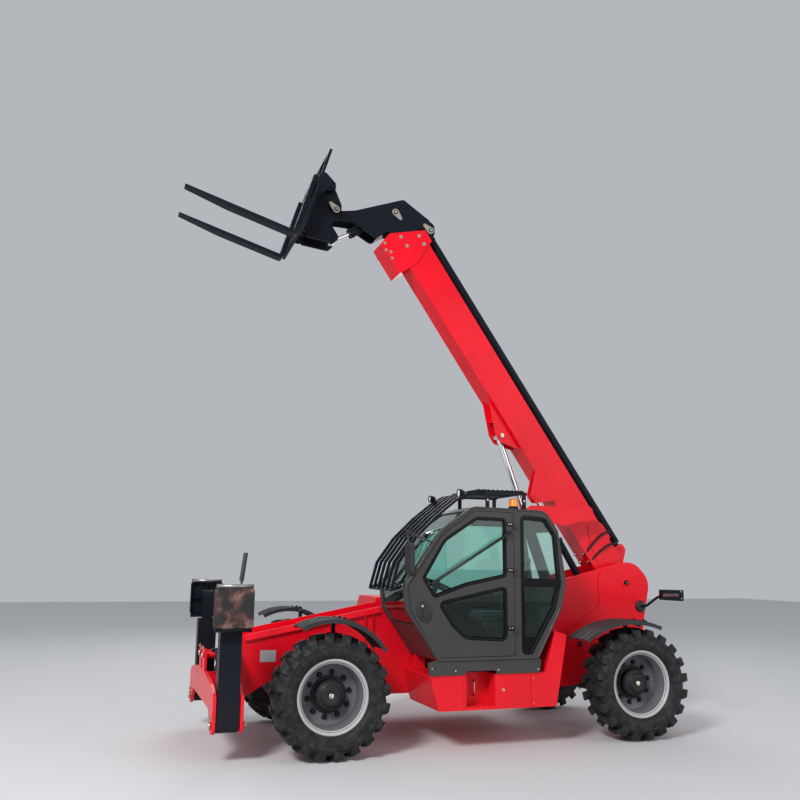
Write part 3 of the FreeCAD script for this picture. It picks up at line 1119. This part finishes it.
# Boom outer section with its collar, doublers, lugs and cylinder brackets, drawn lying level.
half_boom = mm.boom_width / 2
reach = mm.boom_reach
boom_blank = slab("boom_outside", [
    (-mm.boom_tail, 60 - mm.boom_low, 60), (-mm.boom_tail, boom_high, 60), (reach - 20, boom_high),
    (reach + 135, -mm.boom_low), (300, -mm.boom_low, 200),
], mm.boom_width, 0, place=boom_place, rule="Sizes.boom_width")
inner_low = -mm.boom_low + mm.boom_wall
inner_high = boom_high - mm.boom_wall
boom_hollow = slab("boom_hollow", [
    (mm.boom_tail + 240, inner_low), (mm.boom_tail + 240, inner_high), (reach + 200, inner_high),
    (reach + 200, inner_low),
], mm.boom_width - 2 * mm.boom_wall, 0, place=boom_place)
collar_low = -mm.boom_low - mm.collar_drop
collar_high = boom_high + mm.collar_rise
boom_parts = [boom_blank]
collar_outline = [
    (reach - 316, collar_low, 10), (reach + 87, collar_low, 10), (reach + 140, -mm.boom_low - 8),
    (reach - 22, collar_high), (reach - 170, collar_high), (reach - 316, 85 - mm.boom_low),
]
tail_doubler = [
    (296, -80, 20), (530, -51, 60), (745, 54, 40), (749, 164, 30), (663, 228, 40), (476, 232, 20),
]
lift_doubler = [
    (1856, -117, 20), (2059, -64, 60), (2411, 3, 80), (2685, -92, 20), (2666, -150, 20), (1890, -150, 20),
]
for side, tag in ((1, "left"), (-1, "right")):
    boom_parts.append(slab(f"collar_{tag}", collar_outline, mm.collar_plate,
                           side * (half_boom + mm.collar_plate / 2 - 0.5), place=boom_place,
                           rule="Sizes.collar_plate"))
    for name, outline in (("tail_doubler", tail_doubler), ("lift_doubler", lift_doubler)):
        boom_parts.append(slab(f"{name}_{tag}", outline, mm.boom_wall,
                               side * (half_boom + mm.boom_wall / 2 - 1),
                               place=boom_place))
boom_parts.append(block("collar_floor", (reach - 316, -half_boom - 1, collar_low),
                        (reach + 87, half_boom + 1, collar_low + 12), boom_place))
boom_parts.append(block("collar_back", (reach - 316, -half_boom - 1, collar_low),
                        (reach - 304, half_boom + 1, 1 - mm.boom_low), boom_place))
boom_parts.append(slab("collar_cap", [
    (reach - 165, collar_high - 12), (reach - 165, collar_high), (reach - 26, collar_high),
    (reach - 20, collar_high - 12),
], half_boom * 2 + 2, 0, place=boom_place))
boom_parts.append(slab("top_strip", [
    (300, boom_high - 1), (340, boom_high + 18), (1560, boom_high + 12), (1600, boom_high - 1),
], mm.boom_width * 0.45, 0, place=boom_place))
hose_y = half_boom + mm.boom_wall + 12
hose_lines = [
    [(541, 287), (565, 122), (536, -61), (482, -178)],
    [(378, 294), (418, 141), (418, -41), (377, -172)],
]
for side, tag in ((1, "left"), (-1, "right")):
    for i, line in enumerate(hose_lines):
        route = [(line[0][0] - 60, side * 40, boom_high - 4), (line[0][0] - 30, side * 70, boom_high + 70),
                 (line[0][0], side * hose_y, line[0][1] - 40)]
        route += [(u, side * hose_y, v) for u, v in line[1:-1]]
        route.append((line[-1][0], side * (half_boom - 30), -mm.boom_low - 20))
        route.append((line[-1][0] + 10, side * (half_boom - 60), -mm.boom_low + 4))
        boom_parts.append(pipe(f"boom_hose_{tag}_{i}", route, mm.hose / 2, boom_place))
lift_eye = SimpleNamespace(bore=mm.lift_bore, rod=mm.lift_rod, eye=mm.pin_diameter * 1.4,
                           eye_width=mm.lift_bore + 12,
                           pin=mm.pin_diameter, side=0, show=75)
level_eye = SimpleNamespace(bore=mm.level_bore, rod=mm.level_rod, eye=mm.small_pin * 1.7,
                            eye_width=mm.small_pin * 1.3, pin=mm.small_pin, side=mm.level_side, show=150)
lug_rows = [
    # name, pin u, pin v, eye width, middle y, reach back, reach ahead
    ("lift_lug", mm.lift_pin_u, mm.lift_pin_v, lift_eye.eye_width, 0, 260, 460),
    ("level_lug_boom", mm.level_pin_u, mm.level_pin_v, level_eye.eye_width, mm.level_side, 160, 260),
]
for name, u, v, width, middle, back_reach, ahead_reach in lug_rows:
    for step in (-1, 1):
        lug_y = middle + step * (width / 2 + mm.side_play + 8)
        boom_parts.append(slab(f"{name}_{step}", [
            (u - 55, v - 55, 50), (u + 55, v - 55, 50), (u + ahead_reach, 5 - mm.boom_low),
            (u - back_reach, 5 - mm.boom_low),
        ], 16, lug_y, place=boom_place))
        boom_parts.append(cross_bar(f"{name}_cap_{step}", u, v, mm.pin_diameter / 2, 14, boom_place,
                                    lug_y + step * 6))
lift_web_u = mm.lift_pin_u + 190
lift_web_half = lift_eye.eye_width / 2 + mm.side_play + 1
boom_parts.append(slab("lift_web", [
    (lift_web_u, -mm.boom_low + 2), (lift_web_u + 14, -mm.boom_low + 2), (lift_web_u + 2, -mm.boom_low - 92),
    (lift_web_u - 12, -mm.boom_low - 92),
], lift_web_half * 2, 0, place=boom_place))
boom_parts.append(block("level_bracket", (mm.level_pin_u - 120, mm.level_side - 60, -mm.boom_low - 14),
                        (mm.level_pin_u + 220, mm.level_side + 53, 4 - mm.boom_low), boom_place))
extend_half = mm.small_pin * 0.65
extend_eye = SimpleNamespace(bore=mm.extend_bore, rod=mm.extend_rod, eye=mm.small_pin * 1.7,
                             eye_width=extend_half * 2,
                             pin=mm.small_pin, side=0, show=57)
for step in (-1, 1):
    boom_parts.append(slab(f"extend_ear_{step}", [
        (mm.extend_base_u - 50, mm.extend_line + 45, 40), (mm.extend_base_u + 45, mm.extend_line + 45, 40),
        (mm.extend_base_u + 60, boom_high - 5), (mm.extend_base_u - 190, boom_high - 5),
    ], 18, step * (extend_half + mm.side_play + 9), place=boom_place))
boom_parts.append(cross_bar("extend_base_pin", mm.extend_base_u, mm.extend_line, mm.small_pin / 2,
                            extend_half + mm.side_play + 24, boom_place))
node("boom_outer", cut("boom_tube", fused("boom_weld", boom_parts), [
    boom_hollow,
    cross_bar("pivot_bore", 0, 0, pin_hole, half_boom + 200, boom_place),
]))

# Boom inner section with the head that carries the forks.
inner_half_width = half_boom - mm.boom_wall - mm.boom_gap
tube_low = inner_low + mm.boom_gap
tube_high = inner_high - mm.boom_gap
tube_start = mm.boom_tail + 300
inner_tube = slab("inner_outside", [
    (tube_start, tube_low), (tube_start, tube_high), (reach + 60, tube_high), (reach + 175, tube_low),
], inner_half_width * 2, 0, place=boom_place)
inner_hollow = slab("inner_hollow", [
    (tube_start - 10, tube_low + mm.boom_wall), (tube_start - 10, tube_high - mm.boom_wall),
    (reach - 100, tube_high - mm.boom_wall), (reach - 20, tube_low + mm.boom_wall),
], (inner_half_width - mm.boom_wall) * 2, 0, place=boom_place)
pin = (carriage_pin_u, mm.carriage_pin_v)
head_outline = [
    (reach + 172, -mm.boom_low - 8, 10), (reach + 5, collar_high + 10), (reach - 140, collar_high + 10, 10),
    (extend_pin_u - 70, mm.extend_line + 20, 50), (extend_pin_u + 30, mm.extend_line + 85, 60),
    (reach + 417, 232, 20), (reach + 560, -370, 260), (pin[0] - 30, pin[1] + 75, 60),
    (pin[0] + 75, pin[1] + 20, 50),
    (pin[0] + 40, pin[1] - 75, 50), (pin[0] - 75, pin[1] - 55, 50), (reach + 460, -470, 100),
    (reach + 175, -330, 60),
]
head_parts = []
head_y = inner_half_width - mm.head_plate / 2
for side, tag in ((1, "left"), (-1, "right")):
    head_parts.append(slab(f"head_{tag}", head_outline, mm.head_plate, side * head_y, place=boom_place,
                           rule="Sizes.head_plate"))
head_webs = [
    # name, corners of the plate between the two side plates
    ("head_cross", [(reach + 172, -300), (reach + 172, 0), (reach + 192, 0), (reach + 192, -300)]),
    ("head_top", [(extend_pin_u + 110, mm.extend_line + 62), (reach + 410, 240), (reach + 405, 225),
                  (extend_pin_u + 105, mm.extend_line + 47)]),
    ("head_front", [(reach + 417, 215), (reach + 535, -290), (reach + 520, -293), (reach + 402, 212)]),
]
for name, corners in head_webs:
    head_parts.append(slab(name, corners, inner_half_width * 2, 0, place=boom_place))
head_pins = [
    # name, along the boom, across it, radius, out beyond the side plates
    ("extend_tip_pin", extend_pin_u, mm.extend_line, mm.small_pin / 2, 12),
    ("tilt_base_pin", tilt_base_u, mm.tilt_base_v, mm.small_pin / 2, 12),
    ("carriage_pin", *pin, mm.pin_diameter / 2, 60),
]
for name, u, v, radius, beyond in head_pins:
    head_parts.append(cross_bar(name, u, v, radius, inner_half_width + beyond, boom_place))
node("boom_inner", fused("inner_weld", [cut("inner_tube", inner_tube, [inner_hollow])] + head_parts))

# Cylinders. Their closed lengths come from the boom's and the carriage's lowest and highest settings.
BOOM_DOWN = 55
TILT_DOWN = 35
lift_flat = boom_place.multVec(Vector(mm.lift_pin_u, 0, mm.lift_pin_v))
lift_tip = (lift_flat.x, lift_flat.z)
level_flat = boom_place.multVec(Vector(mm.level_pin_u, 0, mm.level_pin_v))
level_tip = (level_flat.x, level_flat.z)
hydraulic("lift", lift_base, lift_tip, gap_between(lift_base, swung(lift_tip, pivot, -BOOM_DOWN)), lift_eye)
hydraulic("level", level_base, level_tip, gap_between(level_base, swung(level_tip, pivot, -BOOM_DOWN)),
          level_eye)
hydraulic("extend", (mm.extend_base_u, mm.extend_line), (extend_pin_u, mm.extend_line),
          extend_pin_u - mm.extend_base_u, extend_eye, boom_place, True)
tilt_base = (tilt_base_u, mm.tilt_base_v)
tilt_tip = (tilt_pin_u, mm.tilt_pin_v)
tilt_eye = SimpleNamespace(bore=mm.tilt_bore, rod=mm.tilt_rod, eye=mm.small_pin * 1.7,
                           eye_width=mm.small_pin * 1.3,
                           pin=mm.small_pin, side=0, show=57)
hydraulic("tilt", tilt_base, tilt_tip, gap_between(tilt_base, swung(tilt_tip, pin, -TILT_DOWN)), tilt_eye,
          boom_place)

# Coupler, fork carriage and forks, drawn with the fork's heel at the origin.
HEEL_FROM_PIN = (380, -552)
pin_flat = boom_place.multVec(Vector(pin[0], 0, pin[1]))
tip_flat = boom_place.multVec(Vector(tilt_tip[0], 0, tilt_tip[1]))
carriage_turn = Rotation(Vector(0, 1, 0), -mm.carriage_tilt)
heel = pin_flat.add(carriage_turn.multVec(Vector(HEEL_FROM_PIN[0], 0, HEEL_FROM_PIN[1])))
carriage_place = Placement(heel, carriage_turn)
local_pin = carriage_place.inverse().multVec(pin_flat)
local_tip = carriage_place.inverse().multVec(tip_flat)
coupler_y = inner_half_width + mm.side_play + 12
hook = (-262, 770)
lock = (-135, 190)
coupler_parts = []
for side, tag in ((1, "left"), (-1, "right")):
    coupler_parts.append(slab(f"coupler_{tag}", [
        (hook[0] - 20, hook[1] + 45, 40), (hook[0] + 60, hook[1] - 10, 30), (-120, 560, 40), (-95, 160, 20),
        (-180, 120, 30), (local_tip.x - 20, local_tip.z - 60, 50), (local_tip.x - 65, local_tip.z + 20, 50),
        (local_tip.x + 90, local_tip.z + 150, 60), (local_pin.x - 80, local_pin.z - 30, 60),
        (local_pin.x - 50, local_pin.z + 85, 60),
    ], 24, side * coupler_y, place=carriage_place))
coupler_parts.append(cross_bar("coupler_hook_bar", *hook, 26, coupler_y + 90, carriage_place))
coupler_parts.append(block("coupler_cross", (-118, -coupler_y, 180), (-96, coupler_y, 540), carriage_place))
coupler_parts.append(cross_bar("coupler_lock_bar", *lock, 20, coupler_y + 90, carriage_place))
coupler_hole = cross_bar("coupler_hole", local_pin.x, local_pin.z, pin_hole, coupler_y + 100, carriage_place)
node("coupler", cut("coupler_solid", fused("coupler_weld", coupler_parts), [coupler_hole]))

half_carriage = mm.carriage_width / 2
fork_back = -mm.fork_thick
carriage_rows = [
    # name, from x, from y, from z, to x, to y, to z
    ("lower_rail", fork_back - 45, -half_carriage, 60, fork_back - 0.3, half_carriage, 160),
    ("upper_rail", fork_back - 45, -half_carriage, 560, fork_back - 0.3, half_carriage, 660),
    ("top_rail", fork_back - 40, -half_carriage, mm.carriage_height - 50, fork_back - 10, half_carriage,
     mm.carriage_height),
]
for i, y in enumerate((-half_carriage, -half_carriage / 3, half_carriage / 3 - 40, half_carriage - 40)):
    carriage_rows.append((f"upright_{i}", fork_back - 40, y, 60, fork_back - 10, y + 40, mm.carriage_height))
carriage_parts = [block(name, corner[:3], corner[3:], carriage_place) for name, *corner in carriage_rows]
for side, tag in ((1, "left"), (-1, "right")):
    carriage_parts.append(slab(f"hook_plate_{tag}", [
        (fork_back - 20, 900, 20), (hook[0] + 120, 905, 40), (hook[0] - 20, hook[1] + 60, 50),
        (hook[0] - 45, hook[1] - 30, 40), (hook[0] + 60, hook[1] - 60, 30), (-145, 560, 40), (-170, 150, 30),
        (fork_back - 20, 130, 20),
    ], 24, side * (coupler_y + 60), place=carriage_place))
rail_cuts = [
    cross_bar("hook_hole", *hook, 26.5, half_carriage, carriage_place),
    cross_bar("lock_hole", *lock, 20.5, half_carriage, carriage_place),
]
node("fork_carriage", cut("carriage_solid", fused("carriage_weld", carriage_parts), rail_cuts))

fork_outline = [
    (mm.fork_length, 0, 4), (0, 0, 10), (0, 700), (fork_back, 700), (fork_back, -mm.fork_thick, 40),
    (mm.fork_length * 0.6, -mm.fork_thick), (mm.fork_length, -12, 4),
]
node("forks", together("fork_pair", [
    slab(f"fork_{tag}", fork_outline, mm.fork_width, side * mm.fork_spread / 2, place=carriage_place,
         rule="Sizes.fork_width")
    for side, tag in ((1, "left"), (-1, "right"))
]))

doc.recompute()
os.makedirs("parts", exist_ok=True)
for item in doc.Objects:
    if "Invalid" in item.State or "Error" in item.State:
        raise RuntimeError(f"{item.Name} ({item.Label}) failed: {item.State}")
for thing in nodes:
    shape = thing.Shape
    if shape.isNull() or not shape.isValid() or not shape.Solids:
        raise RuntimeError(f"{thing.Label} has no valid solid")
for thing in nodes:
    thing.Shape.exportStep(f"parts/{thing.Label}.step")
print(len(nodes), "nodes written")
